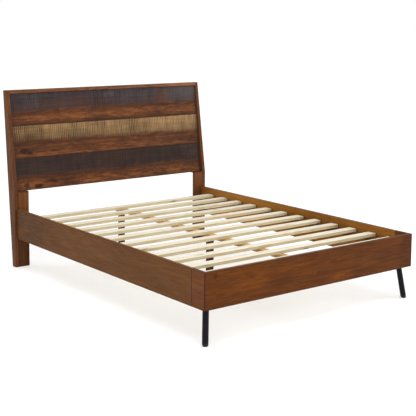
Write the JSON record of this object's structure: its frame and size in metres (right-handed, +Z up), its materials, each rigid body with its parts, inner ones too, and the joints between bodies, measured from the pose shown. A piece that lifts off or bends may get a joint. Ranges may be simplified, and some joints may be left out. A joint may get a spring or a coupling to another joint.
{
  "type": "platform bed frame",
  "caption": "Wooden platform bed frame with a leaning plank headboard, slatted base, splayed round steel legs at the foot and screw levellers under the centre beam.",
  "frame": {"origin": "on the floor, at the middle of the overall length and width", "axes": "+Z up, +Y from the foot towards the headboard, +X to the right seen from the foot"},
  "size_m": [1.614, 2.228, 1.195],
  "materials": {
    "frame_wood": "walnut-brown stained hardwood staves, satin lacquer, darker rubbed edges",
    "plank_charcoal": "charcoal wash over brown stain, worn through to brown towards the lower edge",
    "plank_khaki": "tan wash with faint saw marks over brown stain, worn through towards the lower edge",
    "pine": "unfinished planed pine",
    "leg_wood": "dark umber stained square leg",
    "black_steel": "black powder coat, low sheen",
    "zinc_steel": "bright zinc-plated steel",
    "black_nylon": "matt black moulded nylon"
  },
  "bodies": {
    "bed_frame": {"beam_cleat": "pine", "centre_beam": "pine", "centre_insert_head": "zinc_steel", "centre_insert_middle": "zinc_steel", "centre_leg_head": "leg_wood", "centre_leg_middle": "leg_wood", "corner_block_left": "pine", "corner_block_right": "pine", "footboard": "frame_wood", "footboard_return_left": "frame_wood", "footboard_return_right": "frame_wood", "head_bolt_left_1": "zinc_steel", "head_bolt_left_2": "zinc_steel", "head_bolt_right_1": "zinc_steel", "head_bolt_right_2": "zinc_steel", "head_bracket_left": "zinc_steel", "head_bracket_right": "zinc_steel", "head_glide_left": "black_nylon", "head_glide_right": "black_nylon", "headboard_leg_left": "frame_wood", "headboard_leg_right": "frame_wood", "headboard_plank_lower": "plank_charcoal", "headboard_plank_middle": "plank_khaki", "headboard_plank_upper": "plank_charcoal", "headboard_stile_left": "frame_wood", "headboard_stile_right": "frame_wood", "headboard_top_rail": "frame_wood", "ledger_left": "frame_wood", "ledger_right": "frame_wood", "leg_glide_left": "black_nylon", "leg_glide_right": "black_nylon", "leg_plate_left": "black_steel", "leg_plate_right": "black_steel", "panel_batten_centre": "frame_wood", "panel_cleat_left": "frame_wood", "panel_cleat_right": "frame_wood", "post_block_left": "frame_wood", "post_block_right": "frame_wood", "rail_joint_plate_left": "zinc_steel", "rail_joint_plate_right": "zinc_steel", "side_rail_left": "frame_wood", "side_rail_right": "frame_wood", "slat_01": "pine", "slat_02": "pine", "slat_03": "pine", "slat_04": "pine", "slat_05": "pine", "slat_06": "pine", "slat_07": "pine", "slat_08": "pine", "slat_09": "pine", "slat_10": "pine", "slat_11": "pine", "slat_12": "pine", "steel_leg_left": "black_steel", "steel_leg_right": "black_steel"},
    "middle_leveller": {"leveller_middle": "black_nylon"},
    "head_leveller": {"leveller_head": "black_nylon"}
  },
  "joints": [
    {"name": "middle_leveller_screw", "type": "slide", "parent": "bed_frame", "child": "middle_leveller", "axis": [0, 0, 1], "range_m": [-0.006, 0.01]},
    {"name": "head_leveller_screw", "type": "slide", "parent": "bed_frame", "child": "head_leveller", "axis": [0, 0, 1], "range_m": [-0.006, 0.01]}
  ]
}
